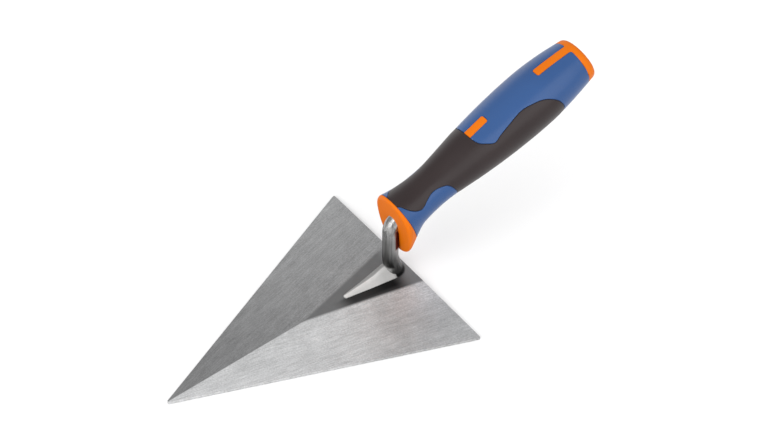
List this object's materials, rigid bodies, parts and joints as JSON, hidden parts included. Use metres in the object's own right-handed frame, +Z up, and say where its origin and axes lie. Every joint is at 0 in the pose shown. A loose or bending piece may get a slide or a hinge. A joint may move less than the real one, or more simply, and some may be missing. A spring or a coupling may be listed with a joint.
{
  "type": "brick trowel",
  "caption": "Brick trowel with a flat pointed steel blade, a bent forged tang and a moulded handle with a soft grip, held in one hand to spread and point mortar.",
  "frame": {"origin": "on the flat underside of the blade, directly below the centre line of the tang's neck", "axes": "+Z up from the underside, -X towards the blade's point, +X towards the handle, symmetric about the plane y = 0"},
  "size_m": [0.2514, 0.1184, 0.0907],
  "materials": {
    "ground_steel": "belt-ground steel, with a darker unground land around the tang",
    "forged_steel": "forged and polished steel, darker towards its base",
    "orange_plastic": "satin moulded hard plastic",
    "blue_plastic": "satin moulded hard plastic",
    "black_elastomer": "matt soft elastomer, moulded over the shell"
  },
  "bodies": {
    "root": {"blade": "ground_steel", "tang": "forged_steel", "handle_core": "orange_plastic", "handle_shell": "blue_plastic", "soft_grip": "black_elastomer"}
  },
  "joints": []
}
